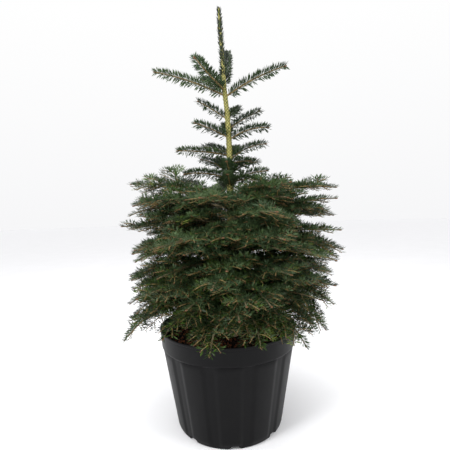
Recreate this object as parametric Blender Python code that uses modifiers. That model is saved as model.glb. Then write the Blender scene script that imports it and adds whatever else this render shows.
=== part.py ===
"""Potted Nordmann fir, about 1.24 m tall with its pot.

Units are metres and +Z is up. The origin is the middle of the pot's flat
underside. Azimuth 0 points along +X and 90 along +Y, so the side that is
seen from the front faces -Y.

The trunk runs whole from the soil to the leader's tip. The shoots of the top
whorl and those between the whorls are masses of needles that begin at the
bark. In the three tiers of main boughs below them each bough is a bare
tapering limb that ends where it enters its own fan of foliage, and a skirt of
drooping masses hangs over the pot's rim.
"""

import math

import bmesh
import bpy
from mathutils import Vector, noise

# ---------------------------------------------------------------- dimensions
GAP = 0.0003  # clearance kept between touching pieces

# pot
POT_HEIGHT = 0.288
POT_TOP_R = 0.2035  # outer radius of the rim band at the top
POT_BAND_LOW_R = 0.1985  # outer radius of the rim band at its lower edge
POT_BAND_H = 0.050
POT_BASE_R = 0.1545
POT_WALL = 0.0030
POT_FLOOR = 0.0040
POT_STEP = 0.0035  # how far the band stands out from the wall below it
POT_PANELS = 12  # raised panels round the wall
POT_PANEL_RISE = 0.0028
POT_STEPS = 72  # divisions round the pot
NOTCHES = 8  # drain notches round the foot
NOTCH_W = 0.026
NOTCH_H = 0.010
NOTCH_TURN = math.radians(-18.5)  # one notch stands near the front

# soil
SOIL_TOP = 0.248
SOIL_UNEVEN = 0.004

# trunk: height, sideways place of its middle line, radius
TRUNK_STATIONS = (
    (SOIL_TOP + SOIL_UNEVEN + GAP, 0.0150, 0.0270),
    (0.262, 0.0152, 0.0222),
    (0.285, 0.0156, 0.0190),
    (0.330, 0.0164, 0.0172),
    (0.400, 0.0174, 0.0158),
    (0.480, 0.0183, 0.0144),
    (0.560, 0.0190, 0.0128),
    (0.640, 0.0193, 0.0112),
    (0.720, 0.0194, 0.0098),
    (0.800, 0.0193, 0.0088),
    (0.870, 0.0185, 0.0080),
    (0.930, 0.0150, 0.0074),
    (0.986, 0.0100, 0.0072),
    (1.040, 0.0074, 0.0060),
    (1.110, 0.0045, 0.0052),
    (1.180, 0.0012, 0.0045),
    (1.234, -0.0008, 0.0036),
)
TRUNK_SIDES = 14
ROOT_LOBES = 5  # buttresses at the foot
ROOT_LOBE_DEPTH = 0.16

# leader: needles laid along the top shoot
LEADER_LOW = 1.030
LEADER_TOP = 1.243
LEADER_R = 0.0112

# shoots of the top whorl and between the whorls:
# name, height on the trunk, azimuth, reach, rise of the tip, first slope,
# half width, half thickness
SHOOTS = (
    ("top_shoot_left", 0.974, 186, 0.214, 0.067, 26, 0.0185, 0.0158),
    ("top_shoot_front_left", 0.992, 232, 0.137, 0.049, 16, 0.0178, 0.0152),
    ("top_shoot_back_left", 0.990, 142, 0.101, 0.058, 36, 0.0155, 0.0132),
    ("top_shoot_right", 0.971, 348, 0.187, 0.070, 31, 0.0188, 0.0162),
    ("top_shoot_back", 0.998, 84, 0.142, 0.165, 52, 0.0162, 0.0138),
    ("left_shoot_1", 0.903, 168, 0.098, 0.062, 39, 0.0170, 0.0146),
    ("left_shoot_2", 0.848, 200, 0.111, 0.037, 26, 0.0170, 0.0146),
    ("left_shoot_3", 0.795, 182, 0.163, 0.017, 13, 0.0185, 0.0158),
    ("left_shoot_4", 0.741, 152, 0.109, 0.052, 40, 0.0155, 0.0135),
    ("left_shoot_5", 0.722, 206, 0.152, 0.013, 20, 0.0160, 0.0130),
    ("right_shoot_1", 0.875, 22, 0.117, 0.063, 36, 0.0165, 0.0144),
    ("right_shoot_2", 0.842, 346, 0.126, 0.027, 31, 0.0170, 0.0146),
    ("right_shoot_3", 0.782, 16, 0.127, 0.052, 40, 0.0170, 0.0146),
    ("right_shoot_4", 0.737, 38, 0.123, 0.048, 38, 0.0150, 0.0135),
    ("right_shoot_5", 0.718, 348, 0.119, 0.025, 24, 0.0155, 0.0125),
)

# main boughs: number in the tier, height, azimuth, reach, rise of the tip,
# first slope, half width, half thickness, bare length
TIERS = (
    ("upper", 0.0050, (
        (0.672, 170, 0.336, 0.050, 18, 0.080, 0.030, 0.062),
        (0.650, 216, 0.318, -0.006, 10, 0.078, 0.027, 0.060),
        (0.640, 308, 0.250, 0.052, 19, 0.064, 0.026, 0.058),
        (0.664, 352, 0.322, 0.024, 16, 0.080, 0.032, 0.064),
        (0.652, 48, 0.300, 0.036, 18, 0.090, 0.032, 0.060),
        (0.668, 110, 0.308, 0.032, 17, 0.092, 0.032, 0.060),
    )),
    ("middle", 0.0058, (
        (0.582, 187, 0.336, 0.008, 4, 0.084, 0.027, 0.078),
        (0.552, 238, 0.330, -0.006, 6, 0.096, 0.038, 0.080),
        (0.566, 293, 0.305, -0.010, 6, 0.094, 0.038, 0.080),
        (0.546, 350, 0.336, -0.037, 4, 0.098, 0.042, 0.078),
        (0.564, 50, 0.325, -0.010, 7, 0.106, 0.042, 0.080),
        (0.552, 118, 0.335, -0.012, 7, 0.110, 0.042, 0.080),
    )),
    ("lower", 0.0064, (
        (0.456, 168, 0.352, -0.031, 4, 0.100, 0.044, 0.088),
        (0.440, 222, 0.330, -0.022, 4, 0.096, 0.042, 0.088),
        (0.426, 275, 0.300, -0.014, 4, 0.094, 0.038, 0.086),
        (0.438, 327, 0.322, -0.010, 4, 0.096, 0.042, 0.086),
        (0.462, 17, 0.354, -0.044, 3, 0.102, 0.044, 0.086),
        (0.446, 92, 0.325, -0.022, 4, 0.120, 0.044, 0.088),
    )),
)

# skirt: height, azimuth, reach, drop of the tip, first slope, half width,
# half thickness
SKIRT = (
    (0.350, 198, 0.334, -0.070, 6, 0.088, 0.024),
    (0.341, 256, 0.268, -0.052, 7, 0.082, 0.019),
    (0.352, 312, 0.280, -0.066, 6, 0.082, 0.022),
    (0.344, 8, 0.272, -0.094, 8, 0.088, 0.023),
    (0.347, 108, 0.296, -0.072, 7, 0.104, 0.023),
)
SKIRT_BEND = 4.0  # the skirt stays level over the rim and drops beyond it

BOUGH_TIP_SHARE = 0.62  # a bough's radius where it enters its mass

COLLECTION = "potted_nordmann_fir"

# --------------------------------------------------------------- scene set-up
for old in list(bpy.data.objects):
    bpy.data.objects.remove(old, do_unlink=True)
for old in list(bpy.data.collections):
    bpy.data.collections.remove(old)

plant = bpy.data.collections.new(COLLECTION)
bpy.context.scene.collection.children.link(plant)
cutters = bpy.data.collections.new("cutters")
bpy.context.scene.collection.children.link(cutters)


def material(name, colour, roughness, metallic=0.0):
    mat = bpy.data.materials.new(name)
    mat.use_nodes = True
    shader = mat.node_tree.nodes["Principled BSDF"]
    shader.inputs["Base Color"].default_value = (*colour, 1.0)
    shader.inputs["Roughness"].default_value = roughness
    shader.inputs["Metallic"].default_value = metallic
    mat.diffuse_color = (*colour, 1.0)
    return mat


def add_mesh(name, bm, colour, roughness, smooth=35):
    mesh = bpy.data.meshes.new(name)
    bm.normal_update()
    bm.to_mesh(mesh)
    bm.free()
    mesh.materials.append(material(name, colour, roughness))
    if smooth:
        mesh.shade_smooth()
        mesh.set_sharp_from_angle(angle=math.radians(smooth))
    ob = bpy.data.objects.new(name, mesh)
    plant.objects.link(ob)
    return ob


def evaluated_copy(source, name, collection):
    """A plain mesh object of source as its modifiers leave it."""
    graph = bpy.context.evaluated_depsgraph_get()
    mesh = bpy.data.meshes.new_from_object(source.evaluated_get(graph))
    mesh.name = name
    ob = bpy.data.objects.new(name, mesh)
    ob.matrix_world = source.matrix_world
    collection.objects.link(ob)
    bm = bmesh.new()
    bm.from_mesh(mesh)
    bmesh.ops.remove_doubles(bm, verts=bm.verts, dist=0.00005)
    bm.to_mesh(mesh)
    bm.free()
    data = source.data
    bpy.data.objects.remove(source, do_unlink=True)
    if isinstance(data, bpy.types.Mesh):
        bpy.data.meshes.remove(data)
    else:
        bpy.data.curves.remove(data)
    ob.name = mesh.name = name
    return ob


def turned(name, profile, steps, collection):
    """A profile of (radius, height) points turned about Z. It starts and ends
    on the axis, and runs from top to bottom on its outer side."""
    mesh = bpy.data.meshes.new(name)
    mesh.from_pydata(
        [(r, 0.0, z) for r, z in profile],
        [(i, i + 1) for i in range(len(profile) - 1)],
        [],
    )
    ob = bpy.data.objects.new(name + "_profile", mesh)
    collection.objects.link(ob)
    screw = ob.modifiers.new("turn", "SCREW")
    screw.axis = "Z"
    screw.angle = math.tau
    screw.steps = screw.render_steps = steps
    screw.use_merge_vertices = True
    screw.merge_threshold = 0.0001
    bpy.context.view_layer.update()
    return evaluated_copy(ob, name, collection)


# ------------------------------------------------------------------------ pot
def wall_radius(z):
    """Outer radius of the pot's wall between its panels."""
    top = POT_BAND_LOW_R - POT_STEP
    return POT_BASE_R + (top - POT_BASE_R) * z / (POT_HEIGHT - POT_BAND_H)


def inner_radius(z):
    """Radius of the pot's round inner face."""
    low = POT_HEIGHT - POT_BAND_H
    if z <= low:
        return wall_radius(z) - POT_WALL
    share = min(1.0, (z - low) / POT_BAND_H)
    foot = wall_radius(low) - POT_WALL
    return foot + (POT_TOP_R - POT_WALL - foot) * share


def panel_share(angle):
    """1 on a raised panel, 0 between two, with slanting sides."""
    period = math.tau / POT_PANELS
    across = abs((angle / period + 0.5) % 1.0 - 0.5) * period
    flat, slant = math.radians(7.6), math.radians(4.9)
    return min(1.0, max(0.0, 1.0 - (across - flat) / slant))


def make_pot():
    low = POT_HEIGHT - POT_BAND_H
    outer = [
        (POT_TOP_R - 0.0012, POT_HEIGHT),
        (POT_TOP_R, POT_HEIGHT - 0.0014),
        (POT_BAND_LOW_R, low),
        (wall_radius(low) + 0.0002, low - 0.003),
        (wall_radius(0.12), 0.12),
        (wall_radius(0.006), 0.006),
        (POT_BASE_R - 0.004, 0.0),
        (0.0, 0.0),
    ]
    inner = [
        (0.0, POT_FLOOR),
        (inner_radius(POT_FLOOR) - 0.002, POT_FLOOR),
        (inner_radius(0.02), 0.02),
        (inner_radius(low), low),
        (inner_radius(POT_HEIGHT), POT_HEIGHT),
    ]
    pot = turned("pot", outer + inner + outer[:1], POT_STEPS, plant)
    low_edge = POT_HEIGHT - POT_BAND_H - 0.002
    bm = bmesh.new()
    bm.from_mesh(pot.data)
    for v in bm.verts:
        r = math.hypot(v.co.x, v.co.y)
        z = v.co.z
        if 0.005 < z < low_edge and r > inner_radius(z) + 0.0012:
            angle = math.atan2(v.co.y, v.co.x)
            rise = POT_PANEL_RISE * panel_share(angle)
            if z < 0.01:
                rise *= 0.5
            v.co.x *= (r + rise) / r
            v.co.y *= (r + rise) / r
    bmesh.ops.recalc_face_normals(bm, faces=bm.faces)
    bm.to_mesh(pot.data)
    bm.free()
    pot.data.materials.append(material("pot", (0.016, 0.016, 0.017), 0.42))
    pot.data.shade_smooth()
    pot.data.set_sharp_from_angle(angle=math.radians(30))
    for i in range(NOTCHES):
        angle = math.tau * (i + 0.5) / NOTCHES + NOTCH_TURN
        bm = bmesh.new()
        bmesh.ops.create_cube(bm, size=1.0)
        for v in bm.verts:
            v.co.x *= 0.030
            v.co.y *= NOTCH_W * (0.72 if v.co.z > 0 else 1.0)
            v.co.z *= 2 * NOTCH_H
        mesh = bpy.data.meshes.new(f"notch_cutter_{i}")
        bm.to_mesh(mesh)
        bm.free()
        cutter = bpy.data.objects.new(mesh.name, mesh)
        cutter.location = (
            POT_BASE_R * math.cos(angle),
            POT_BASE_R * math.sin(angle),
            0.0,
        )
        cutter.rotation_euler = (0.0, 0.0, angle)
        cutter.hide_render = True
        cutter.display_type = "WIRE"
        cutters.objects.link(cutter)
        cut = pot.modifiers.new(f"notch_{i}", "BOOLEAN")
        cut.operation = "DIFFERENCE"
        cut.solver = "EXACT"
        cut.object = cutter
    return pot


# ----------------------------------------------------------------------- soil
def make_soil():
    slack = 0.0006
    foot = POT_FLOOR + GAP
    heights = (0.020, 0.120, POT_HEIGHT - POT_BAND_H, SOIL_TOP)
    rim = inner_radius(SOIL_TOP) - slack
    profile = [(0.0, SOIL_TOP), (0.045, SOIL_TOP), (0.095, SOIL_TOP), (0.145, SOIL_TOP)]
    profile += [(inner_radius(z) - slack, z) for z in reversed(heights)]
    profile += [(inner_radius(foot) - 0.002 - slack, foot), (0.0, foot)]
    soil = turned("soil", profile, 36, plant)
    for v in soil.data.vertices:
        r = math.hypot(v.co.x, v.co.y)
        if v.co.z > SOIL_TOP - 0.001 and r < rim - 0.002:
            swell = noise.noise(Vector((v.co.x * 14, v.co.y * 14, 3.7)))
            near_stem = math.exp(-((math.hypot(v.co.x - 0.015, v.co.y) / 0.05) ** 2))
            v.co.z += SOIL_UNEVEN * max(-0.9, min(0.95, swell)) * (1 - near_stem)
    bm = bmesh.new()
    bm.from_mesh(soil.data)
    bmesh.ops.recalc_face_normals(bm, faces=bm.faces)
    bm.to_mesh(soil.data)
    bm.free()
    soil.data.materials.append(material("soil", (0.045, 0.028, 0.018), 0.95))
    soil.data.shade_smooth()
    soil.data.set_sharp_from_angle(angle=math.radians(40))
    return soil


# ---------------------------------------------------------------------- trunk
def trunk_at(z):
    """Middle line (x, y) and radius of the trunk at a height."""
    if z <= TRUNK_STATIONS[0][0]:
        return TRUNK_STATIONS[0][1], 0.0, TRUNK_STATIONS[0][2]
    for (z0, x0, r0), (z1, x1, r1) in zip(TRUNK_STATIONS, TRUNK_STATIONS[1:]):
        if z <= z1:
            t = (z - z0) / (z1 - z0)
            return x0 + (x1 - x0) * t, 0.0, r0 + (r1 - r0) * t
    return TRUNK_STATIONS[-1][1], 0.0, TRUNK_STATIONS[-1][2]


def loft(bm, rings):
    """Closes a body between rings of the same number of points."""
    rows = [[bm.verts.new(p) for p in ring] for ring in rings]
    n = len(rows[0])
    for low, high in zip(rows, rows[1:]):
        for i in range(n):
            j = (i + 1) % n
            bm.faces.new((low[i], low[j], high[j], high[i]))
    bm.faces.new(tuple(reversed(rows[0])))
    bm.faces.new(tuple(rows[-1]))


def make_trunk():
    rings = []
    for z, x, r in TRUNK_STATIONS:
        flare = max(0.0, 1.0 - (z - TRUNK_STATIONS[0][0]) / 0.045)
        ring = []
        for i in range(TRUNK_SIDES):
            a = math.tau * i / TRUNK_SIDES
            lobe = 1.0 + ROOT_LOBE_DEPTH * flare * math.cos(ROOT_LOBES * a + 0.7)
            ring.append((x + r * lobe * math.cos(a), r * lobe * math.sin(a), z))
        rings.append(ring)
    bm = bmesh.new()
    loft(bm, rings)
    return add_mesh("trunk", bm, (0.30, 0.27, 0.11), 0.8)


def make_leader():
    """A sleeve of needles with the trunk's top left free inside it."""
    outer, inner = [], []
    levels = 8
    sides = 12
    top_trunk = TRUNK_STATIONS[-1][0] + GAP
    for k in range(levels):
        t = k / (levels - 1)
        z = LEADER_LOW + (LEADER_TOP - 0.004 - LEADER_LOW) * t
        x = trunk_at(z)[0]
        bulge = 0.94 + 0.10 * math.sin(5.1 * k) + (0.34 if k == levels - 1 else 0.0)
        r = LEADER_R * bulge * (1.0 - 0.16 * t)
        outer.append([
            (x + r * (1 + 0.07 * math.sin(3 * a + k)) * math.cos(a),
             r * (1 + 0.07 * math.sin(3 * a + k)) * math.sin(a), z)
            for a in (math.tau * i / sides for i in range(sides))
        ])
        zi = LEADER_LOW + (top_trunk + GAP - LEADER_LOW) * t
        xi, _, ri = trunk_at(zi)
        ri = (ri + 2 * GAP) / math.cos(math.pi / sides)
        inner.append([
            (xi + ri * math.cos(a), ri * math.sin(a), zi)
            for a in (math.tau * i / sides for i in range(sides))
        ])
    crown_x = trunk_at(LEADER_TOP)[0]
    r = LEADER_R * 0.62
    outer.append([
        (crown_x + r * math.cos(a), r * math.sin(a), LEADER_TOP)
        for a in (math.tau * i / sides for i in range(sides))
    ])
    bm = bmesh.new()
    rings = list(reversed(inner)) + outer
    rows = [[bm.verts.new(p) for p in ring] for ring in rings]
    for low, high in zip(rows, rows[1:]):
        for i in range(sides):
            j = (i + 1) % sides
            bm.faces.new((low[i], low[j], high[j], high[i]))
    bm.faces.new(tuple(reversed(rows[0])))
    bm.faces.new(tuple(rows[-1]))
    bmesh.ops.recalc_face_normals(bm, faces=bm.faces)
    return add_mesh("leader_needles", bm, (0.06, 0.11, 0.03), 0.7, smooth=50)


# --------------------------------------------------------- limbs and foliage
class Limb:
    """The middle line of a limb: it leaves the trunk at a height and azimuth
    with a first slope, and bends to its tip, evenly with a bend of 2 and
    mostly near the tip with a higher one."""

    def __init__(self, height, azimuth, reach, rise, slope, bend=2.0):
        self.bend = bend
        self.x0, self.y0, self.trunk_r = trunk_at(height)
        self.z0 = height
        self.a = math.radians(azimuth)
        self.reach = reach
        self.rise = rise
        self.k = math.tan(math.radians(slope))

    def at(self, r):
        u = r / self.reach
        z = self.z0 + r * self.k + (self.rise - self.reach * self.k) * u**self.bend
        return Vector((
            self.x0 + r * math.cos(self.a),
            self.y0 + r * math.sin(self.a),
            z,
        ))

    def along(self, r):
        fall = (self.rise - self.reach * self.k) / self.reach
        slope = self.k + self.bend * fall * (r / self.reach) ** (self.bend - 1)
        return Vector((math.cos(self.a), math.sin(self.a), slope)).normalized()

    def frame(self, r):
        """The direction along the limb, to its left, and up from it."""
        d = self.along(r)
        side = Vector((-math.sin(self.a), math.cos(self.a), 0.0))
        return d, side, d.cross(side)


def make_bough(name, limb, radius, bare):
    """A bare tapering limb from the bark to the mass that it enters."""
    start = limb.trunk_r + GAP + radius * abs(limb.k) + 0.0002
    data = bpy.data.curves.new(name, "CURVE")
    data.dimensions = "3D"
    data.bevel_depth = 1.0
    data.bevel_resolution = 1
    data.use_fill_caps = True
    spline = data.splines.new("POLY")
    count = 4
    spline.points.add(count - 1)
    for i in range(count):
        t = i / (count - 1)
        p = limb.at(start + (bare - start) * t)
        spline.points[i].co = (*p, 1.0)
        spline.points[i].radius = radius * (1.0 - (1.0 - BOUGH_TIP_SHARE) * t)
    ob = bpy.data.objects.new(name, data)
    plant.objects.link(ob)
    ob = evaluated_copy(ob, name, plant)
    ob.data.materials.clear()
    ob.data.materials.append(material(name, (0.26, 0.20, 0.13), 0.85))
    ob.data.shade_smooth()
    ob.data.set_sharp_from_angle(angle=math.radians(50))
    return ob


def room_beside(azimuth, azimuths):
    """Half the gap to the nearest neighbour, as a share of the distance from
    the trunk."""
    apart = min(
        abs((azimuth - other + 180) % 360 - 180)
        for other in azimuths
        if other != azimuth
    )
    return 0.84 * math.tan(math.radians(min(apart, 76) / 2))


def make_mass(name, limb, start, half_w, half_t, fan, seed, colour, room=1.0):
    """A closed, uneven body of needles along a limb. fan is 0 for a single
    shoot, which is an even finger, and 1 for a spray, which spreads into side
    shoots towards its middle and narrows to the tip."""
    segments, rings = (10, 10) if fan else (8, 7)
    bm = bmesh.new()
    bmesh.ops.create_uvsphere(bm, u_segments=segments, v_segments=rings, radius=1.0)
    length = limb.reach - start
    lobes = 3.0 + (seed % 3)
    for v in bm.verts:
        u = math.acos(max(-1.0, min(1.0, v.co.z))) / math.pi  # 0 at the foot
        ring = math.hypot(v.co.x, v.co.y)
        turn = math.atan2(v.co.y, v.co.x) if ring > 1e-6 else 0.0
        flat_foot = u < 1e-4
        s = max(0.0, (u - 1.0 / rings)) / (1.0 - 1.0 / rings)
        s = s ** 0.92
        r = start + length * s
        d, side, up = limb.frame(min(r, limb.reach))
        centre = limb.at(min(r, limb.reach))
        if fan:
            spread = math.sin(math.pi * min(1.0, 0.10 + 0.86 * s)) ** 0.85
            spread = max(spread, 0.13)
            tip = 1.0 if s < 0.86 else max(0.0, (1.0 - s) / 0.14) ** 0.5
            edge = 1.0 + 0.16 * math.sin(lobes * math.tau * s + seed * 1.7
                                         + (1.3 if math.cos(turn) > 0 else 0.0))
            w = half_w * spread * edge * tip
            t = half_t * (0.42 + 0.58 * math.sin(math.pi * min(1.0, 0.12 + 0.8 * s))) * tip
            # near the trunk the fans of one tier keep out of each other's way
            w = min(w, room * r)
        else:
            spread = min(1.0, 0.30 + 1.6 * s) if s < 0.44 else 1.0
            tip = 1.0 if s < 0.82 else max(0.0, (1.0 - s) / 0.18) ** 0.5
            edge = 1.0 + 0.07 * math.sin(lobes * 2 * math.pi * s + seed + turn)
            w = half_w * spread * edge * (1.0 - 0.22 * s) * tip
            t = half_t * spread * edge * (1.0 - 0.18 * s) * tip
        bump = 1.0 + 0.10 * noise.noise(Vector((s * 5.0, math.cos(turn) * 1.5, seed * 2.3 + math.sin(turn))))
        shape_c, shape_s = math.cos(turn), math.sin(turn)
        if flat_foot or ring < 1e-6:
            offset = Vector((0.0, 0.0, 0.0))
        else:
            offset = side * (w * shape_c * bump) + up * (t * shape_s * bump)
            if fan:
                offset.z -= 0.10 * abs(w * shape_c)  # the sides hang a little
        v.co = centre + offset
    bmesh.ops.recalc_face_normals(bm, faces=bm.faces)
    return add_mesh(name, bm, colour, 0.75, smooth=60)


def build():
    make_pot()
    make_soil()
    make_trunk()
    make_leader()
    seed = 1
    for name, height, azimuth, reach, rise, slope, half_w, half_t in SHOOTS:
        limb = Limb(height, azimuth, reach, rise, slope)
        foot = half_t * 0.42 * abs(math.sin(math.atan(limb.k)))
        make_mass(name, limb, limb.trunk_r + 2 * GAP + foot, half_w, half_t,
                  0, seed, (0.035, 0.075, 0.030))
        seed += 1
    for tier, radius, boughs in TIERS:
        for i, (height, azimuth, reach, rise, slope, half_w, half_t, bare) in enumerate(boughs):
            limb = Limb(height, azimuth, reach, rise, slope)
            make_bough(f"{tier}_bough_{i + 1}", limb, radius, bare)
            make_mass(f"{tier}_foliage_{i + 1}", limb, bare + 2 * GAP, half_w,
                      half_t, 1, seed, (0.030, 0.070, 0.022),
                      room_beside(azimuth, [b[1] for b in boughs]))
            seed += 1
    for i, (height, azimuth, reach, rise, slope, half_w, half_t) in enumerate(SKIRT):
        limb = Limb(height, azimuth, reach, rise, slope, SKIRT_BEND)
        make_mass(f"skirt_foliage_{i + 1}", limb, limb.trunk_r + 6 * GAP, half_w,
                  half_t, 1, seed, (0.040, 0.075, 0.022),
                  room_beside(azimuth, [b[1] for b in SKIRT]))
        seed += 1


build()
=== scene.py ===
import math

import bpy
import numpy as np
from mathutils import Matrix, Vector


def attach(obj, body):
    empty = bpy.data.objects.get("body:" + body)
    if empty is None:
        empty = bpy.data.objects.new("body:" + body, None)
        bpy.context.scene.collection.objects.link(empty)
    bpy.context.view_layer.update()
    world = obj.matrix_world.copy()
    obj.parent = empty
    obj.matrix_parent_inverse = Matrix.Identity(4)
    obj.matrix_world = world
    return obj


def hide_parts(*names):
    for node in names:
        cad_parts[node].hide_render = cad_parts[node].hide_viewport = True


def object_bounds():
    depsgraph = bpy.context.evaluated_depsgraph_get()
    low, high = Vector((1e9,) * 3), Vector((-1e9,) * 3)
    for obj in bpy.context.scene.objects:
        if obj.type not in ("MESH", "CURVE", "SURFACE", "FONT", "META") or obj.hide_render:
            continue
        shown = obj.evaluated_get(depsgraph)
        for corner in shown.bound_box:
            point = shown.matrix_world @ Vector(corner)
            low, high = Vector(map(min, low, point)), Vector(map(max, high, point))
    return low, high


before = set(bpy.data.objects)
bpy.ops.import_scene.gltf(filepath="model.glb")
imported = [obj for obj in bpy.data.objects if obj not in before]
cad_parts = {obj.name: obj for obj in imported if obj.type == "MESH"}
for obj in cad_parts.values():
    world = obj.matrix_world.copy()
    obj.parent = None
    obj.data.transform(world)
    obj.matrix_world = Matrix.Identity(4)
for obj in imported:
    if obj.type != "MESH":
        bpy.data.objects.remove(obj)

CAD_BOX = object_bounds()
rng = np.random.default_rng(20251)

# ---------------------------------------------------------------- sizes, in metres
POT_HEIGHT = 0.288
POT_TOP_R = 0.2035
POT_BAND_LOW_R = 0.1985
POT_BAND_H = 0.050
POT_BASE_R = 0.1545
POT_WALL = 0.0030
POT_STEP = 0.0035
POT_PANELS = 12
POT_PANEL_RISE = 0.0028
NOTCHES = 8
NOTCH_W = 0.026
NOTCH_H = 0.010
NOTCH_TURN = math.radians(-18.5)
SOIL_TOP = 0.248

TRUNK = np.array([
    (.2523, .0150, .0270), (.262, .0152, .0222), (.285, .0156, .0190), (.330, .0164, .0172),
    (.400, .0174, .0158), (.480, .0183, .0144), (.560, .0190, .0128), (.640, .0193, .0112),
    (.720, .0194, .0098), (.800, .0193, .0088), (.870, .0185, .0080), (.930, .0150, .0074),
    (.986, .0100, .0072), (1.040, .0074, .0060), (1.110, .0045, .0052), (1.180, .0012, .0045),
    (1.234, -.0008, .0036)])

# name: height, azimuth, reach, rise, first slope
SHOOTS = {
    "top_shoot_left": (.974, 186, .214, .067, 26), "top_shoot_front_left": (.992, 232, .137, .049, 16),
    "top_shoot_back_left": (.990, 142, .101, .058, 36), "top_shoot_right": (.971, 348, .187, .070, 31),
    "top_shoot_back": (.998, 84, .142, .165, 52), "left_shoot_1": (.903, 168, .098, .062, 39),
    "left_shoot_2": (.848, 200, .111, .037, 26), "left_shoot_3": (.795, 182, .163, .017, 13),
    "left_shoot_4": (.741, 152, .109, .052, 40), "left_shoot_5": (.722, 206, .152, .013, 20),
    "right_shoot_1": (.875, 22, .117, .063, 36), "right_shoot_2": (.842, 346, .126, .027, 31),
    "right_shoot_3": (.782, 16, .127, .052, 40), "right_shoot_4": (.737, 38, .123, .048, 38),
    "right_shoot_5": (.718, 348, .119, .025, 24)}
# shoots too small to be solids of their own
SMALL_SHOOTS = [
    (.803, 150, .087, .029, 24), (.712, -44, .119, -.004, 12), (.772, -8, .060, .004, 10),
    (.705, -95, .100, .020, 18), (.860, 96, .090, .050, 34), (.790, 74, .100, .045, 32),
    (.755, 112, .115, .040, 30), (.735, 262, .070, .030, 30), (.905, 60, .075, .050, 38),
    (.698, 100, .140, .030, 20)]

# height, azimuth, reach, rise, first slope, half width, half thickness, bare length
TIERS = {
    "upper": (.0050, [
        (.672, 170, .336, .050, 18, .080, .030, .062), (.650, 216, .318, -.006, 10, .078, .027, .060),
        (.640, 308, .250, .052, 19, .064, .026, .058), (.664, 352, .322, .024, 16, .080, .032, .064),
        (.652, 48, .300, .036, 18, .090, .032, .060), (.668, 110, .308, .032, 17, .092, .032, .060)]),
    "middle": (.0058, [
        (.582, 187, .336, .008, 4, .084, .027, .078), (.552, 238, .330, -.006, 6, .096, .038, .080),
        (.566, 293, .305, -.010, 6, .094, .038, .080), (.546, 350, .336, -.037, 4, .098, .042, .078),
        (.564, 50, .325, -.010, 7, .106, .042, .080), (.552, 118, .335, -.012, 7, .110, .042, .080)]),
    "lower": (.0064, [
        (.456, 168, .352, -.031, 4, .100, .044, .088), (.440, 222, .330, -.022, 4, .096, .042, .088),
        (.426, 275, .300, -.014, 4, .094, .038, .086), (.438, 327, .322, -.010, 4, .096, .042, .086),
        (.462, 17, .354, -.044, 3, .102, .044, .086), (.446, 92, .325, -.022, 4, .120, .044, .088)])}
SKIRT = [
    (.350, 198, .334, -.070, 6, .088, .024), (.341, 256, .268, -.052, 7, .082, .019),
    (.352, 312, .280, -.066, 6, .082, .022), (.344, 8, .272, -.094, 8, .088, .023),
    (.347, 108, .296, -.072, 7, .104, .023)]


def trunk_at(z):
    return np.interp(z, TRUNK[:, 0], TRUNK[:, 1]), np.interp(z, TRUNK[:, 0], TRUNK[:, 2])


def rgb(text):
    v = [int(text[i:i + 2], 16) / 255 for i in (0, 2, 4)]
    return tuple(c / 12.92 if c <= 0.04045 else ((c + 0.055) / 1.055) ** 2.4 for c in v) + (1.0,)


# ---------------------------------------------------------------- meshes
def add_mesh(name, verts, faces, mats, index=None, smooth=True, values=None):
    """verts (n, 3), faces (m, 3) or (m, 4), one material index per face, and named values per vertex."""
    verts = np.asarray(verts, dtype=np.float32)
    faces = np.asarray(faces, dtype=np.int32)
    me = bpy.data.meshes.new(name)
    me.vertices.add(len(verts))
    me.vertices.foreach_set("co", verts.ravel())
    me.loops.add(faces.size)
    me.loops.foreach_set("vertex_index", faces.ravel())
    me.polygons.add(len(faces))
    me.polygons.foreach_set("loop_start", np.arange(0, faces.size, faces.shape[1], dtype=np.int32))
    for m in mats:
        me.materials.append(m)
    if index is not None:
        me.polygons.foreach_set("material_index", np.asarray(index, dtype=np.int32))
    me.polygons.foreach_set("use_smooth", np.full(len(faces), smooth))
    for key, v in (values or {}).items():
        at = me.attributes.new(key, "FLOAT", "POINT")
        at.data.foreach_set("value", np.asarray(v, dtype=np.float32))
    me.update(calc_edges=True)
    ob = bpy.data.objects.new(name, me)
    bpy.context.scene.collection.objects.link(ob)
    return ob


def tube(points, radii, sides, relief=None):
    """A closed tube along points. Returns verts and triangles."""
    p = np.asarray(points, float)
    t = np.gradient(p, axis=0)
    t /= np.linalg.norm(t, axis=1)[:, None]
    up = np.array([0.0, 0.0, 1.0]) if abs(t[0, 2]) < 0.9 else np.array([1.0, 0.0, 0.0])
    a = np.cross(t, up)
    a /= np.linalg.norm(a, axis=1)[:, None]
    b = np.cross(a, t)
    ang = np.linspace(0, math.tau, sides, endpoint=False)
    r = np.asarray(radii, float)[:, None] * np.ones(sides)
    if relief is not None:
        r = r + relief
    ring = a[:, None] * np.cos(ang)[None, :, None] + b[:, None] * np.sin(ang)[None, :, None]
    v = (p[:, None] + ring * r[:, :, None]).reshape(-1, 3)
    n = len(p)
    i, j = np.meshgrid(np.arange(n - 1), np.arange(sides), indexing="ij")
    q = [i * sides + j, i * sides + (j + 1) % sides, (i + 1) * sides + (j + 1) % sides, (i + 1) * sides + j]
    q = [x.ravel() for x in q]
    tri = np.concatenate([np.stack([q[0], q[2], q[1]], 1), np.stack([q[0], q[3], q[2]], 1)])
    v = np.concatenate([v, p[:1], p[-1:]])
    k = np.arange(sides)
    low = np.stack([np.full(sides, n * sides), k, (k + 1) % sides], 1)
    high = np.stack([np.full(sides, n * sides + 1), (n - 1) * sides + (k + 1) % sides, (n - 1) * sides + k], 1)
    return v, np.concatenate([tri, low, high])


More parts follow.
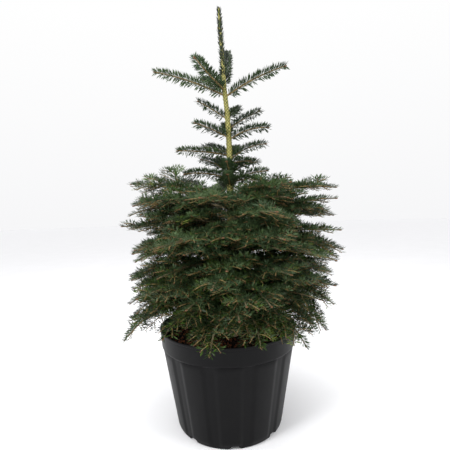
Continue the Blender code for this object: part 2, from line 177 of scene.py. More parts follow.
class Heap:
    """Gathers small meshes into one."""

    def __init__(self):
        self.v, self.f, self.m, self.x, self.n = [], [], [], [], 0

    def add(self, v, f, m=0, x=None):
        self.v.append(v)
        self.f.append(f + self.n)
        self.m.append(np.full(len(f), m) if np.isscalar(m) else m)
        self.x.append(np.zeros((len(v), 2)) if x is None else x)
        self.n += len(v)

    def arrays(self):
        return np.concatenate(self.v), np.concatenate(self.f), np.concatenate(self.m), np.concatenate(self.x)


# ---------------------------------------------------------------- materials
def plain(name, colour, rough, spec=0.5):
    m = bpy.data.materials.new(name)
    m.use_nodes = True
    b = m.node_tree.nodes["Principled BSDF"]
    b.inputs["Base Color"].default_value = rgb(colour)
    b.inputs["Roughness"].default_value = rough
    b.inputs["Specular IOR Level"].default_value = spec
    return m, m.node_tree, b


def noise_node(tree, scale, detail=4.0, rough=0.6, stretch=None):
    co = tree.nodes.new("ShaderNodeTexCoord")
    out = co.outputs["Object"]
    if stretch:
        mp = tree.nodes.new("ShaderNodeMapping")
        mp.inputs["Scale"].default_value = stretch
        tree.links.new(out, mp.inputs["Vector"])
        out = mp.outputs["Vector"]
    n = tree.nodes.new("ShaderNodeTexNoise")
    n.inputs["Scale"].default_value = scale
    n.inputs["Detail"].default_value = detail
    n.inputs["Roughness"].default_value = rough
    tree.links.new(out, n.inputs["Vector"])
    return n.outputs["Fac"]


def ramp(tree, fac, stops):
    r = tree.nodes.new("ShaderNodeValToRGB")
    e = r.color_ramp.elements
    while len(e) < len(stops):
        e.new(0.5)
    for el, (at, c) in zip(e, stops):
        el.position = at
        el.color = rgb(c)
    tree.links.new(fac, r.inputs["Fac"])
    return r.outputs["Color"]


def mix(tree, fac, a, b):
    n = tree.nodes.new("ShaderNodeMix")
    n.data_type = "RGBA"
    tree.links.new(fac, n.inputs["Factor"])
    tree.links.new(a, n.inputs["A"])
    tree.links.new(b, n.inputs["B"])
    return n.outputs["Result"]


def bump(tree, shader, fac, strength, distance):
    n = tree.nodes.new("ShaderNodeBump")
    n.inputs["Strength"].default_value = strength
    n.inputs["Distance"].default_value = distance
    tree.links.new(fac, n.inputs["Height"])
    tree.links.new(n.outputs["Normal"], shader.inputs["Normal"])


TOPS = [plain(f"needle_top_{i}", c, 0.42, 0.42)[0] for i, c in enumerate(
    ("17250d", "20320f", "2a3f13", "142110", "354c19", "486223", "66762c"))]
UNDERS = [plain(f"needle_under_{i}", c, 0.5, 0.4)[0] for i, c in enumerate(("3c5030", "304427", "4b603a"))]
STUB = plain("needle_young_stem", "848443", 0.55, 0.35)[0]

TWIG, tr, sh = plain("twig_bark", "a08a5c", 0.7)
tr.links.new(ramp(tr, noise_node(tr, 160), [(0.25, "4b3a20"), (0.5, "786338"), (0.8, "a28e58")]), sh.inputs["Base Color"])
bump(tr, sh, noise_node(tr, 900), 0.3, 0.0004)

BUD, tr, sh = plain("bud", "6a3f22", 0.5)
tr.links.new(ramp(tr, noise_node(tr, 500), [(0.3, "4c3420"), (0.55, "755233"), (0.8, "957046")]), sh.inputs["Base Color"])
bump(tr, sh, noise_node(tr, 1500), 0.3, 0.0003)

BARK, tr, sh = plain("bark", "7a6a4c", 0.72)
# painted shade: the attribute read here mixes in the near-black dark_o / dark_y colours where the stem is recessed
# between leaf cushions, in old-bark fissures, and along boughs into the shaded foliage
painted_shade = tr.nodes.new("ShaderNodeAttribute")
painted_shade.attribute_name = "painted_shade"
young = tr.nodes.new("ShaderNodeAttribute")
young.attribute_name = "young"
grain = noise_node(tr, 90, stretch=(1, 1, 0.35))
old_c = ramp(tr, grain, [(0.25, "6b5f48"), (0.5, "8e8266"), (0.78, "b0a688")])
young_c = ramp(tr, grain, [(0.25, "98924a"), (0.55, "b7b060"), (0.8, "d2cc86")])
dark_o = ramp(tr, grain, [(0.3, "3a2c1e"), (0.7, "544330")])
dark_y = ramp(tr, grain, [(0.3, "23250a"), (0.7, "3f4016")])
light = mix(tr, young.outputs["Fac"], old_c, young_c)
dark = mix(tr, young.outputs["Fac"], dark_o, dark_y)
tr.links.new(mix(tr, painted_shade.outputs["Fac"], light, dark), sh.inputs["Base Color"])
bump(tr, sh, noise_node(tr, 700), 0.35, 0.0006)

POT, tr, sh = plain("pot_plastic", "040405", 0.40, 0.13)
tr.links.new(ramp(tr, noise_node(tr, 26), [(0.3, "020203"), (0.6, "040405"), (0.85, "080809")]), sh.inputs["Base Color"])
rr = tr.nodes.new("ShaderNodeMapRange")
rr.inputs["To Min"].default_value, rr.inputs["To Max"].default_value = 0.36, 0.50
tr.links.new(noise_node(tr, 60, stretch=(1, 1, 0.2)), rr.inputs["Value"])
tr.links.new(rr.outputs["Result"], sh.inputs["Roughness"])
bump(tr, sh, noise_node(tr, 420), 0.12, 0.0004)

SOIL, tr, sh = plain("soil", "2c1f16", 0.95, 0.2)
tr.links.new(ramp(tr, noise_node(tr, 120), [(0.3, "140d09"), (0.55, "2f2016"), (0.8, "4d3422")]), sh.inputs["Base Color"])
bump(tr, sh, noise_node(tr, 260, 8), 0.8, 0.003)

LITTER, tr, sh = plain("bark_litter", "6b3f25", 0.85, 0.3)
tr.links.new(ramp(tr, noise_node(tr, 140), [(0.3, "3c2114"), (0.55, "6f4026"), (0.8, "9a6238")]), sh.inputs["Base Color"])
bump(tr, sh, noise_node(tr, 600), 0.5, 0.001)

# ---------------------------------------------------------------- shoots
shoots = []   # one dict for each shoot: points, radius at both ends, style, tone, part, where needles start


def unit(v):
    return v / max(np.linalg.norm(v), 1e-9)


def limb(z0, az, reach, rise, slope, bend=2, n=16, start=0.0, end=1.0):
    r = np.linspace(start * reach, end * reach, n)
    k = math.tan(math.radians(slope))
    z = z0 + r * k + (rise - reach * k) * (r / reach) ** bend
    a = math.radians(az)
    return np.stack([trunk_at(z0)[0] + r * math.cos(a), r * math.sin(a), z], 1)


def shoot(points, r0, r1, style, tone, part, bare=0.0, length=1.0, solid=False):
    shoots.append(dict(p=np.asarray(points), r0=r0, r1=r1, style=style, tone=tone, part=part,
                       bare=bare, length=length, solid=solid))


def side_shoot(p0, axis, side, turn, length, lift=0.0, n=5):
    """A shoot that leaves axis to one side, bends forward again and lifts or sinks a little."""
    up = np.array([0, 0, 1.0])
    out = unit(np.cross(axis, up)) * side
    fwd = unit(axis)
    pts = [np.asarray(p0)]
    step = length / (n - 1)
    wander = rng.normal(0, 0.035, 2)
    droop = rng.uniform(0.0, 0.55)
    for i in range(n - 1):
        s = i / (n - 1)
        a = math.radians(turn) * (1 - 0.26 * s) + wander[0] * s
        d = fwd * math.cos(a) + out * math.sin(a)
        d = d + up * (lift * (1 - s) - droop * s * s + wander[1])
        pts.append(pts[-1] + unit(d) * step)
    return np.array(pts)


def at_share(p, s):
    d = np.concatenate([[0], np.cumsum(np.linalg.norm(np.diff(p, axis=0), axis=1))])
    s = s * d[-1]
    q = np.array([np.interp(s, d, p[:, i]) for i in range(3)])
    k = min(max(np.searchsorted(d, s), 1), len(p) - 1)
    return q, unit(p[k] - p[k - 1]), d[-1]


def deal(base):
    if rng.random() < 0.09:
        return int(rng.choice([5, 5, 6]))
    return int(np.clip(base + rng.choice([-1, 0, 0, 1, 2]), 0, 5))


def fan(points, half_w, part, tone, first=0.26, twigs=6, radius=0.0022, sub=True, thick=0.03, layer=0.0):
    """Side shoots in pairs along a main axis, longest near its middle, each with shoots of its own."""
    roll = rng.normal(0, 0.20)
    for i in range(twigs):
        f = first + (0.95 - first) * (i / twigs) ** 0.9 + rng.normal(0, 0.012)
        full = min(1.0, (1 - f) / 0.52) ** 0.85 * min(1.0, 0.62 + 0.9 * f)
        for side in (-1, 1):
            p0, ax, total = at_share(points, min(0.96, f + rng.uniform(0, 0.03)))
            length = half_w * full / math.sin(math.radians(47)) * rng.uniform(0.86, 1.05)
            length = min(length, 0.145)
            if length < 0.02:
                continue
            lift = rng.normal(0.0, 0.26) + layer + side * roll
            pts = side_shoot(p0, ax, side, rng.uniform(46, 56), length, lift)
            t = deal(tone)
            shoot(pts, radius * (0.75 + 0.4 * length / 0.1) * 0.8, 0.0010, "flat", t, part, 0.06)
            if i % 2 == (side > 0):
                high = rng.random() < 0.68
                rest = length * rng.uniform(0.42, 0.62)
                # raised shoots take a lighter needle tone and lowered shoots a darker one: painted light and shade
                shoot(side_shoot(p0, ax, side, rng.uniform(30, 60), rest, 0.75 if high else -0.5, 4),
                      radius * 0.6, 0.0009, "flat", deal(tone + (1 if high else -1)), part, 0.06)
            if not sub or length < 0.045:
                continue
            spots = ((0.34, .44), (0.64, .30)) if length > 0.085 else ((0.45, .38),)
            for g, share in spots:
                for s2 in (-1, 1):
                    q, a2, _ = at_share(pts, g + rng.uniform(-.03, .03))
                    l2 = length * share * rng.uniform(0.85, 1.12)
                    if l2 < 0.014:
                        continue
                    shoot(side_shoot(q, a2, s2, rng.uniform(42, 54), l2, rng.normal(0.0, .36), 4),
                          0.0012, 0.0008, "flat", deal(t), part, 0.0)


# whorls of main boughs
bark_limbs = []
for tier, (rad, rows) in TIERS.items():
    for z0, az, reach, rise, slope, hw, ht, bare in rows:
        axis = limb(z0, az, reach - 0.016, rise, slope, 2, 26)
        # painted light: upper boughs on the front side, which faces the lamps, get a lighter needle tone
        front = 1 if 200 < az % 360 < 340 else 0
        tone = {"upper": 2, "middle": 1, "lower": 1}[tier] + (1 if tier == "upper" and front else 0)
        bark_limbs.append((axis, rad))
        shoot(axis, rad, 0.0016, "main", tone, tier, bare / reach * 0.9, solid=True)
        fan(axis, hw, tier, tone, first=max(0.24, bare / reach), twigs=7, radius=0.0024, thick=ht)

# hanging sprays over the rim
for z0, az, reach, rise, slope, hw, ht in SKIRT:
    axis = limb(z0, az, reach - 0.018, rise, slope, 4, 24)
    bark_limbs.append((axis, 0.0046))
    shoot(axis, 0.0046, 0.0015, "main", 2, "skirt", 0.30, solid=True)
    fan(axis, hw, "skirt", 2, first=0.38, twigs=6, radius=0.0020, thick=ht)

for z0, az, reach, rise, slope, hw in (
        (.372, 226, .272, -.062, 6, .080), (.366, 284, .262, -.062, 6, .080), (.372, 337, .285, -.076, 6, .080),
        (.362, 174, .292, -.058, 6, .078), (.366, 40, .270, -.060, 6, .080), (.372, 76, .282, -.066, 6, .080),
        (.366, 142, .290, -.066, 6, .080), (.384, 240, .250, -.040, 7, .070), (.384, 300, .250, -.040, 7, .070),
        (.384, 265, .240, -.045, 7, .070), (.402, 186, .318, -.040, 6, .084), (.404, 205, .300, -.045, 6, .080),
        (.515, 176, .318, -.012, 8, .086), (.512, 206, .300, -.014, 8, .082), (.618, 186, .312, .004, 10, .078),
        (.505, -6, .322, -.020, 8, .086), (.500, 22, .310, -.018, 8, .082), (.604, -14, .306, .004, 10, .080),
        (.610, 10, .316, .004, 10, .080), (.398, -12, .306, -.045, 6, .084), (.402, 28, .310, -.045, 6, .082)):
    axis = limb(z0, az, reach - 0.014, rise, slope, 4, 22)
    bark_limbs.append((axis, 0.0040))
    part = "upper" if z0 > 0.6 else "middle" if z0 > 0.48 else "lower" if z0 > 0.39 else "skirt"
    shoot(axis, 0.0040, 0.0014, "main", int(rng.integers(1, 5)), part, 0.22, solid=True)
    fan(axis, hw, part, int(rng.integers(1, 4)), first=0.30, twigs=6, radius=0.0019)

# smaller boughs between the whorls
golden = 137.508
for i in range(58):
    s = i / 57
    z0 = 0.350 + 0.290 * s ** 1.1
    az = 24 + golden * i + rng.uniform(-9, 9)
    reach = float(np.interp(z0, (.34, .45, .60, .69), (.262, .325, .318, .250))) * rng.uniform(0.74, 1.0)
    rise = float(np.interp(z0, (.34, .45, .60, .69), (-.020, .000, .022, .045))) + rng.normal(0, .008)
    axis = limb(z0, az, reach, rise, rng.uniform(9, 17), 2, 20)
    part = "upper" if z0 > 0.6 else "middle" if z0 > 0.48 else "lower" if z0 > 0.38 else "skirt"
    tone = int(rng.integers(0, 4))
    bark_limbs.append((axis, 0.0036))
    shoot(axis, 0.0036, 0.0014, "main", tone, part, 0.18, solid=True)
    fan(axis, 0.078, part, tone, first=0.22, twigs=5, radius=0.0018)

# the open upper crown: plain shoots of one year
for name, row in SHOOTS.items():
    z0, az, reach, rise, slope = row
    axis = limb(z0, az, reach - 0.010, rise, slope, 2, 18)
    tone = 3 if name == "top_shoot_back" else int(rng.integers(1, 4))
    shoot(axis, 0.0030 if name.startswith("top") else 0.0024, 0.0016, "young", tone, "top", 0.02 + .008 / reach)
for z0, az, reach, rise, slope in SMALL_SHOOTS:
    shoot(limb(z0, az, reach, rise, slope, 2, 14), 0.0022, 0.0013, "young", int(rng.integers(0, 3)), "top", 0.05)


def stem_line(low, high, n):
    z = np.linspace(low, high, n)
    x, r = trunk_at(z)
    return np.stack([x, np.zeros(n), z], 1), r


line, rr_ = stem_line(1.030, 1.231, 20)
shoot(line, rr_[0], rr_[-1], "leader", 3, "top", 0.0, solid=True)
line, rr_ = stem_line(0.700, 1.030, 24)
shoot(line, rr_[0], rr_[-1], "stub", 0, "top", 0.0, solid=True)

# ---------------------------------------------------------------- needles
STYLES = {
    #        needles per metre, length, width, angle over, angle beside
    "flat": (640, .0245, .0029, 42, 62),
    "main": (1000, .0235, .0029, 40, 62),
    "young": (2900, .0262, .0031, 50, 68),
    "leader": (2600, .0180, .0026, 20, 34),
    "stub": (2000, .0095, .0019, 18, 40)}


def needles_on(s):
    density, size, width, over, beside = STYLES[s["style"]]
    p = s["p"]
    d = np.concatenate([[0], np.cumsum(np.linalg.norm(np.diff(p, axis=0), axis=1))])
    total = d[-1]
    n = int(total * (1 - s["bare"]) * density)
    if n < 3:
        return None
    t = np.linspace(s["bare"], 1.0, n) * total + rng.uniform(-1, 1, n) * 0.6 / density
    t = np.clip(t, 0, total)
    base = np.stack([np.interp(t, d, p[:, i]) for i in range(3)], 1)
    tan = np.gradient(p, d, axis=0)
    ax = np.stack([np.interp(t, d, tan[:, i]) for i in range(3)], 1)
    ax /= np.linalg.norm(ax, axis=1)[:, None]
    up = np.array([0, 0, 1.0]) if s["style"] not in ("leader", "stub") else np.array([0, -1.0, 0])
    u = up - ax * (ax @ up)[:, None]
    u /= np.linalg.norm(u, axis=1)[:, None]
    sd = np.cross(ax, u)
    if s["style"] == "main":
        phi = np.where(rng.random(n) < 0.60, rng.uniform(2, 55, n), rng.uniform(55, 104, n))
    elif s["style"] == "flat":
        phi = np.where(rng.random(n) < 0.46, rng.uniform(4, 55, n), rng.uniform(55, 104, n))
    elif s["style"] == "young":
        phi = np.where(rng.random(n) < 0.80, rng.uniform(3, 105, n), rng.uniform(105, 150, n))
    else:
        phi = rng.uniform(0, 180, n)
    sign = np.where(np.arange(n) % 2 == 0, 1.0, -1.0)
    f = np.radians(phi)
    rad = u * np.cos(f)[:, None] + sd * (np.sin(f) * sign)[:, None]
    share = np.sin(np.minimum(f, math.pi / 2))
    if s["style"] in ("leader", "stub"):
        share = rng.random(n)
    beta = np.radians(over + (beside - over) * share + rng.normal(0, 6, n))
    end = (t / total)
    beta = beta * (1 - 0.42 * np.clip((end - 0.9) / 0.1, 0, 1))
    direction = ax * np.cos(beta)[:, None] + rad * np.sin(beta)[:, None]
    if s["style"] in ("flat", "main", "young"):
        direction[:, 2] += 0.10
    direction /= np.linalg.norm(direction, axis=1)[:, None]
    length = size * (0.70 + 0.30 * share) * rng.uniform(0.84, 1.10, n) * s["length"]
    length *= 0.72 + 0.28 * np.sin(np.pi * np.clip(0.12 + end * 0.85, 0, 1))
    nrm = rad * 0.35 + u * 0.75 + rng.normal(0, 0.22, (n, 3))
    if s["style"] in ("leader", "stub"):
        nrm = rad + rng.normal(0, 0.15, (n, 3))
    nrm -= direction * np.sum(nrm * direction, axis=1)[:, None]
    nrm /= np.linalg.norm(nrm, axis=1)[:, None]
    w = np.cross(direction, nrm)
    stem = (s["r0"] + (s["r1"] - s["r0"]) * end)
    o = base + rad * (stem * 0.7)[:, None]
    wd = width * rng.uniform(0.85, 1.12, n)
    L, W = length[:, None], wd[:, None]
    curl = (rng.uniform(-0.02, 0.10, n) * length)[:, None]
    v = np.stack([
        o, o + direction * L * 0.62 + w * W * 0.5 - nrm * curl * 0.3,
        o + direction * L * 0.62 - w * W * 0.5 - nrm * curl * 0.3,
        o + direction * L + nrm * curl,
        o + direction * L * 0.5 - nrm * (W * 0.24 + curl * 0.3)], 1)
    return v


NEEDLE = np.array([(0, 2, 1), (1, 2, 3), (0, 1, 4), (0, 4, 2), (1, 3, 4), (4, 3, 2)])
UNDERSIDE = np.array([0, 0, 1, 1, 1, 1])

cad_lo, cad_hi = np.array(CAD_BOX[0]), np.array(CAD_BOX[1])
room = 0.02 * (cad_hi - cad_lo) + 0.006
batches = {}
for s in shoots:
    v = needles_on(s)
    if v is None:
        continue
    tips = v[:, 3]
    r_tip = np.hypot(tips[:, 0], tips[:, 1])
    keep = np.all((tips > cad_lo - room) & (tips < cad_hi + room), axis=1)
    wall = np.interp(tips[:, 2], (0, .238, .288, .300), (.158, .199, .207, .0))
    inner = np.interp(tips[:, 2], (0, .238, .239, .288, .289), (.14, .186, .187, .196, 9))
    keep &= ~((tips[:, 2] < 0.292) & (r_tip < wall) & (r_tip > inner))
    keep &= ~((tips[:, 2] < SOIL_TOP + 0.006) & (r_tip < 0.2))
    v = v[keep]
    tone = s["tone"]
    if s["style"] == "stub":
        top = np.where(rng.random(len(v)) < 0.40, 4, 10)
        under = np.full(len(v), 10)
    else:
        top = np.full(len(v), tone)
        odd = rng.random(len(v))
        top = np.where(odd > 0.93, min(tone + 1, 6), np.where(odd < 0.06, max(tone - 1, 0), top))
        under = np.full(len(v), 7 + int(rng.integers(0, 3)))
    mats = np.where(UNDERSIDE[None, :] == 0, top[:, None], np.broadcast_to(under, len(v))[:, None])
    batches.setdefault(s["part"], []).append((v, mats))

needle_mats = TOPS + UNDERS + [STUB]
PER_PIECE = 30000
GROUPS = {
    "top": list(SHOOTS) + ["leader_needles"],
    "upper": [f"upper_foliage_{i}" for i in range(1, 7)],
    "middle": [f"middle_foliage_{i}" for i in range(1, 7)],
    "lower": [f"lower_foliage_{i}" for i in range(1, 7)],
    "skirt": [f"skirt_foliage_{i}" for i in range(1, 6)]}
count = 0
for part, rows in batches.items():
    v = np.concatenate([a for a, _ in rows])
    m = np.concatenate([b for _, b in rows])
    pieces = max(1, math.ceil(len(v) / PER_PIECE))
    for k, (vv, mm) in enumerate(zip(np.array_split(v, pieces), np.array_split(m, pieces))):
        faces = (NEEDLE[None] + (np.arange(len(vv)) * 5)[:, None, None]).reshape(-1, 3)
        ob = add_mesh(f"needles_{part}_{k + 1}", vv.reshape(-1, 3), faces, needle_mats, mm.ravel(), smooth=False)
        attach(ob, "root")
        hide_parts(*GROUPS[part])
        count += len(faces)
print("needle triangles", count)

# ---------------------------------------------------------------- twigs and buds
twigs, buds = Heap(), Heap()
uv_ring = np.linspace(0, math.tau, 6, endpoint=False)


def add_bud(p, d, size, wide, small=False):
    d = unit(d)
    if small:
        a = unit(np.cross(d, [0.31, 0.2, 0.9])) * wide
        b = np.cross(d, a)
        m = p + d * size * 0.45
        v = np.array([p - d * size * 0.1, m + a, m + b, m - a, m - b, p + d * size])
        buds.add(v, np.array([(0, 2, 1), (0, 3, 2), (0, 4, 3), (0, 1, 4), (5, 1, 2), (5, 2, 3), (5, 3, 4), (5, 4, 1)]))
        return
    a = unit(np.cross(d, [0.31, 0.2, 0.9]))
    b = np.cross(d, a)
    rows = ((0.0, .55), (.30, 1.0), (.62, .80), (.86, .40))
    v = [p + d * size * s + (a * math.cos(t) + b * math.sin(t)) * wide * w for s, w in rows for t in uv_ring]
    v += [p - d * size * 0.05, p + d * size]
    f = []
    for i in range(3):
        for j in range(6):
            q = (i * 6 + j, i * 6 + (j + 1) % 6, (i + 1) * 6 + (j + 1) % 6, (i + 1) * 6 + j)
            f += [(q[0], q[1], q[2]), (q[0], q[2], q[3])]
    for j in range(6):
        f += [(24, (j + 1) % 6, j), (25, 18 + j, 18 + (j + 1) % 6)]
    buds.add(np.array(v), np.array(f))


for s in shoots:
    if not s["solid"]:
        n = len(s["p"])
        v, f = tube(s["p"], np.linspace(s["r0"], s["r1"], n), 6 if s["style"] == "young" else 4)
        twigs.add(v, f)
    if s["style"] == "stub":
        continue
    p, d = s["p"][-1], s["p"][-1] - s["p"][-2]
    big = {"young": 1.35, "leader": 1.5, "main": 1.15}.get(s["style"], 0.85)
    add_bud(p, d, 0.0060 * big, 0.0017 * big, small=big < 1)
    if big > 1:
        side = unit(np.cross(d, [0, 0.1, 1.0]))
        for sg in (-1, 1):
            add_bud(p - unit(d) * 0.001, unit(d) + side * sg * 0.9, 0.0048 * big, 0.0016 * big)
for z, x in ((1.170, .005), (1.172, -.005)):
    add_bud(np.array([trunk_at(z)[0] + x, -.001, z]), np.array([x * 120, 0, 1.0]), 0.0075, 0.0022)

v, f, m, x = twigs.arrays()
twig_ob = add_mesh("twigs", v, f, [TWIG])
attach(twig_ob, "root")
v, f, m, x = buds.arrays()
bud_ob = add_mesh("buds", v, f, [BUD])
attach(bud_ob, "root")

# ---------------------------------------------------------------- bark of trunk and boughs
bark = Heap()
RINGS, SIDES = 560, 36
z = np.linspace(TRUNK[0, 0], TRUNK[-1, 0], RINGS)
cx, cr = trunk_at(z)
kern = np.ones(15) / 15
cx = np.convolve(np.pad(cx, 7, "edge"), kern, "valid")
cr2 = np.convolve(np.pad(cr, 7, "edge"), kern, "valid")
cr = np.where(z < 0.29, cr, cr2)
ang = np.linspace(0, math.tau, SIDES, endpoint=False)
Z, A = np.meshgrid(z, ang, indexing="ij")
age = np.clip((Z - 0.52) / 0.12, 0, 1)          # 0 old bark, 1 young green stem
turn = 5.0
cells = np.abs(np.sin(2.5 * A + Z * 330)) * np.abs(np.sin(2.5 * A - Z * 330))
cushion = (1 - cells) ** 3
fissure = np.clip(np.sin(7 * A + 9 * np.sin(Z * 26)) * np.sin(Z * 160 + 5 * np.sin(3 * A)), 0, 1) ** 2
scar = np.exp(-(((Z * 1000) % 9 - 4.5) / 1.3) ** 2) * (np.sin(5 * A + np.floor(Z * 111) * 2.4) > 0.3)
lobes = 0.16 * np.cos(5 * A + 0.7) * np.clip(1 - (Z - TRUNK[0, 0]) / 0.045, 0, 1)
R = cr[:, None] * (1 + lobes) - age * 0.0007 * cushion + (1 - age) * (0.0006 * scar - 0.0007 * fissure)
v = np.stack([cx[:, None] + R * np.cos(A), R * np.sin(A), Z], 2).reshape(-1, 3)
i, j = np.meshgrid(np.arange(RINGS - 1), np.arange(SIDES), indexing="ij")
q = [(i * SIDES + j).ravel(), (i * SIDES + (j + 1) % SIDES).ravel(),
     ((i + 1) * SIDES + (j + 1) % SIDES).ravel(), ((i + 1) * SIDES + j).ravel()]
f = np.concatenate([np.stack([q[0], q[1], q[2]], 1), np.stack([q[0], q[2], q[3]], 1)])
v = np.concatenate([v, [[cx[0], 0, z[0]], [cx[-1], 0, z[-1] + .001]]])
k = np.arange(SIDES)
f = np.concatenate([f, np.stack([np.full(SIDES, RINGS * SIDES), (k + 1) % SIDES, k], 1),
                    np.stack([np.full(SIDES, RINGS * SIDES + 1), (RINGS - 1) * SIDES + k,
                              (RINGS - 1) * SIDES + (k + 1) % SIDES], 1)])
# painted shade: darker colour in the recessed grooves between leaf cushions of the young stem and in the fissures of
# the old bark
gr = (age * (1 - cells) ** 1.4 * 1.0 + (1 - age) * np.maximum(fissure, 0.0) * 0.9).ravel()
x = np.stack([np.append(gr, [0, 0]), np.append(age.ravel(), [0, 1])], 1)
bark.add(v, f, 0, x)
for axis, rad in bark_limbs:
    n = 24
    sh_ = np.linspace(0, 1, n)
    d = np.concatenate([[0], np.cumsum(np.linalg.norm(np.diff(axis, axis=0), axis=1))])
    pts = np.stack([np.interp(sh_ * d[-1], d, axis[:, c]) for c in range(3)], 1)
    radius = rad * (1 - sh_) ** 0.8 * 0.86 + 0.0014 + rad * 0.5 * np.exp(-sh_ * 22)
    rel = rng.normal(0, 0.00018, (n, 8)) * (radius / rad)[:, None]
    v, f = tube(pts, radius, 8, rel)
    # painted shade: each bough gets darker towards its tip, where it runs into the shaded foliage, on top of a random
    # tone
    g = np.clip(rng.normal(0.15, 0.25, len(v)) + 0.55 * np.append(np.repeat(sh_, 8), [0, 1]), 0, 1)
    yng = np.clip(0.04 + 0.10 * np.repeat(sh_, 8), 0, 1)
    bark.add(v, f, 0, np.stack([g, np.append(yng, [0.1, 0.1])], 1))
v, f, m, x = bark.arrays()
bark_ob = add_mesh("bark", v, f, [BARK], values={"painted_shade": x[:, 0], "young": x[:, 1]})
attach(bark_ob, "root")
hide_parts("trunk", *[f"{t}_bough_{i}" for t in TIERS for i in range(1, 7)])


# ---------------------------------------------------------------- pot
def wall_radius(z):
    return POT_BASE_R + (POT_BAND_LOW_R - POT_STEP - POT_BASE_R) * z / (POT_HEIGHT - POT_BAND_H)


LOW = POT_HEIGHT - POT_BAND_H
T = POT_TOP_R
outer = [(0.0, 0.0), (POT_BASE_R - .012, 0.0), (POT_BASE_R - .004, 0.0), (POT_BASE_R - .0012, .0008), (wall_radius(.004), .004)]
outer += [(wall_radius(h), h) for h in (.0055, .0085, .0100, .0104, .0112, .016)]
outer += [(wall_radius(h), h) for h in np.linspace(.022, LOW - .014, 30)]
outer += [(wall_radius(h), h) for h in (LOW - .0095, LOW - .006, LOW - .0040)]
outer += [(wall_radius(LOW) + .0002, LOW - .003), (POT_BAND_LOW_R - .0012, LOW - .0016), (POT_BAND_LOW_R, LOW),
          (POT_BAND_LOW_R + .0004, LOW + .003)]
outer += [(POT_BAND_LOW_R + (T - POT_BAND_LOW_R) * s * 0.86, LOW + POT_BAND_H * s) for s in np.linspace(.12, .80, 8)]
outer += [(T - .0016, POT_HEIGHT - .0075), (T - .0004, POT_HEIGHT - .0068), (T, POT_HEIGHT - .0058),
          (T, POT_HEIGHT - .0014), (T - .0004, POT_HEIGHT - .0004), (T - .0012, POT_HEIGHT), (T - .0026, POT_HEIGHT - .0001),
          (T - .0031, POT_HEIGHT - .0009)]
inner = [(T - POT_WALL - .0004 - (T - .196) * s * 0.9, POT_HEIGHT - .001 - .049 * s) for s in np.linspace(.08, 1, 8)]
inner += [(wall_radius(h) - POT_WALL, h) for h in (.230, .12, .02, .0045)] + [(0.0, .0045)]
prof = np.array(outer + inner)
STEPS = 432
ang = np.arange(STEPS) / STEPS * math.tau
rows = []
for r, h in prof:
    rad = np.full(STEPS, r)
    if .003 < h < LOW - .003 and r > wall_radius(h) - .0015:
        period = math.tau / POT_PANELS
        across = np.abs((ang / period + 0.5) % 1.0 - 0.5) * period
        share = np.clip(1 - (across - math.radians(7.6)) / math.radians(4.9), 0, 1)
        share = share * share * (3 - 2 * share)
        ends = min(1.0, max(0.0, (LOW - .0035 - h) / .008)) * min(1.0, max(0.0, h / .016))
        rad = rad + POT_PANEL_RISE * share * ends
    if h < .0102 and r > POT_BASE_R - .006:
        for i in range(NOTCHES):
            a0 = math.tau * (i + 0.5) / NOTCHES + NOTCH_TURN
            off = np.abs((ang - a0 + math.pi) % math.tau - math.pi) * POT_BASE_R
            rad = np.where(off < NOTCH_W / 2 * (1.0 if h < .006 else .86), rad - .0085, rad)
    rows.append(np.stack([rad * np.cos(ang), rad * np.sin(ang), np.full(STEPS, h)], 1))
v = np.concatenate(rows)
n = len(prof)
i, j = np.meshgrid(np.arange(n - 1), np.arange(STEPS), indexing="ij")
f = np.stack([(i * STEPS + j).ravel(), (i * STEPS + (j + 1) % STEPS).ravel(),
              ((i + 1) * STEPS + (j + 1) % STEPS).ravel(), ((i + 1) * STEPS + j).ravel()], 1)
f = np.concatenate([f[:, [0, 1, 2]], f[:, [0, 2, 3]]])
pot_ob = add_mesh("pot_shell", v, f, [POT])
pot_ob.data.set_sharp_from_angle(angle=math.radians(35))
me = pot_ob.data
import bmesh

bm = bmesh.new()
bm.from_mesh(me)
bmesh.ops.remove_doubles(bm, verts=bm.verts, dist=1e-6)
bmesh.ops.dissolve_degenerate(bm, edges=bm.edges, dist=1e-6)
bmesh.ops.recalc_face_normals(bm, faces=bm.faces)
bm.to_mesh(me)
bm.free()
me.set_sharp_from_angle(angle=math.radians(35))
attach(pot_ob, "root")
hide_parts("pot")

# ---------------------------------------------------------------- soil and litter
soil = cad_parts["soil"]
soil.data.materials.clear()
soil.data.materials.append(SOIL)
chips = Heap()
for i in range(900):
    r = 0.183 * math.sqrt(rng.random())
    a = rng.uniform(0, math.tau)
    size = rng.uniform(.003, .011)
    dims = np.array([size, size * rng.uniform(.35, .8), size * rng.uniform(.15, .4)])
    corner = np.array([(sx, sy, sz) for sz in (-.5, .5) for sy in (-.5, .5) for sx in (-.5, .5)])
    corner = corner * dims * rng.uniform(0.7, 1.15, (8, 3))
    rot = np.array(Matrix.Rotation(rng.uniform(0, 6.28), 3, "Z") @ Matrix.Rotation(rng.normal(0, .35), 3, "X")
                   @ Matrix.Rotation(rng.normal(0, .35), 3, "Y"))
    x0, y0 = r * math.cos(a), r * math.sin(a)
    if math.hypot(x0 - .015, y0) < .034:
        continue
    v = corner @ rot.T + (x0, y0, SOIL_TOP + .0025 + rng.uniform(0, .003))
    f = np.array([(0, 2, 1), (1, 2, 3), (4, 5, 6), (5, 7, 6), (0, 1, 4), (1, 5, 4),
                  (2, 6, 3), (3, 6, 7), (0, 4, 2), (2, 4, 6), (1, 3, 5), (3, 7, 5)])
    chips.add(v, f)
v, f, m, x = chips.arrays()
chip_ob = add_mesh("bark_litter", v, f, [LITTER], smooth=False)
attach(chip_ob, "root")

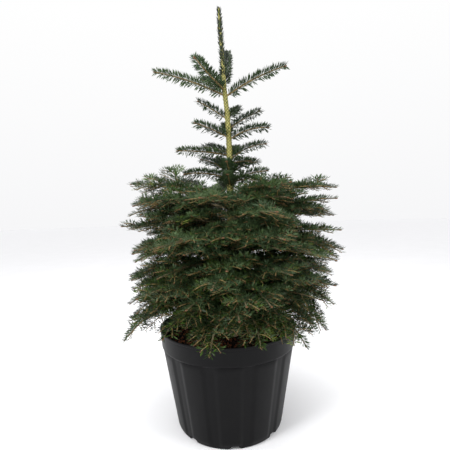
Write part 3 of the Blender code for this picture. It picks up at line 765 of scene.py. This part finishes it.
# ---------------------------------------------------------------- floor, light and camera
fl, tr, sh = plain("floor", "eeeef0", 0.75, 0.25)
tr.links.new(ramp(tr, noise_node(tr, 3), [(0.3, "f3f3f5"), (0.7, "f6f6f8")]), sh.inputs["Base Color"])
bm = bmesh.new()
bmesh.ops.create_circle(bm, cap_ends=True, radius=30, segments=96)
me = bpy.data.meshes.new("floor")
bm.to_mesh(me)
bm.free()
floor = bpy.data.objects.new("floor", me)
bpy.context.scene.collection.objects.link(floor)
me.materials.append(fl)
floor.location = (0, 0, -0.0004)

world = bpy.data.worlds.new("studio")
bpy.context.scene.world = world
world.use_nodes = True
bg = world.node_tree.nodes["Background"]
bg.inputs["Strength"].default_value = 1.0
wt = world.node_tree
tc = wt.nodes.new("ShaderNodeTexCoord")
sx = wt.nodes.new("ShaderNodeSeparateXYZ")
wt.links.new(tc.outputs["Generated"], sx.inputs["Vector"])
wr = wt.nodes.new("ShaderNodeValToRGB")
wr.color_ramp.elements[0].position, wr.color_ramp.elements[0].color = 0.0, (0.93, 0.93, 0.94, 1)
wr.color_ramp.elements[1].position, wr.color_ramp.elements[1].color = 0.5, (1.0, 1.0, 1.0, 1)
wt.links.new(sx.outputs["Z"], wr.inputs["Fac"])
wt.links.new(wr.outputs["Color"], bg.inputs["Color"])


def softbox(name, loc, target, size, power, tint=(1, 1, 1)):
    d = bpy.data.lights.new(name, "AREA")
    d.shape = "RECTANGLE"
    d.size, d.size_y = size
    d.energy = power
    d.color = tint
    ob = bpy.data.objects.new(name, d)
    bpy.context.scene.collection.objects.link(ob)
    ob.location = loc
    ob.rotation_euler = (Vector(target) - Vector(loc)).to_track_quat("-Z", "Y").to_euler()


softbox("left_box", (-1.7, -1.6, 2.0), (0, 0, .55), (0.8, 1.2), 52)
softbox("right_box", (2.0, -1.2, 1.5), (0, 0, .50), (0.8, 1.4), 20)
softbox("top_box", (0.1, -0.3, 2.9), (0, 0, .5), (1.6, 1.6), 26)

scene = bpy.context.scene
scene.view_settings.view_transform = "Standard"
scene.view_settings.look = "None"
th, roll = 0.0254, -0.0274
R = np.array([1.0, 0, 0])
U = np.array([0, math.sin(th), math.cos(th)])
F = np.array([0, math.cos(th), -math.sin(th)])
cam_x = R * math.cos(roll) + U * math.sin(roll)
cam_y = -R * math.sin(roll) + U * math.cos(roll)
cam = bpy.data.objects.new("camera", bpy.data.cameras.new("camera"))
scene.collection.objects.link(cam)
cam.data.sensor_width = 36.0
cam.data.lens = 26.4
M = Matrix.Identity(4)
for c, col in enumerate((cam_x, cam_y, -F)):
    for r_ in range(3):
        M[r_][c] = float(col[r_])
M.translation = Vector((0, -1.0035, 0.611))
cam.matrix_world = M
cam.data.clip_start, cam.data.clip_end = 0.02, 100
scene.camera = cam
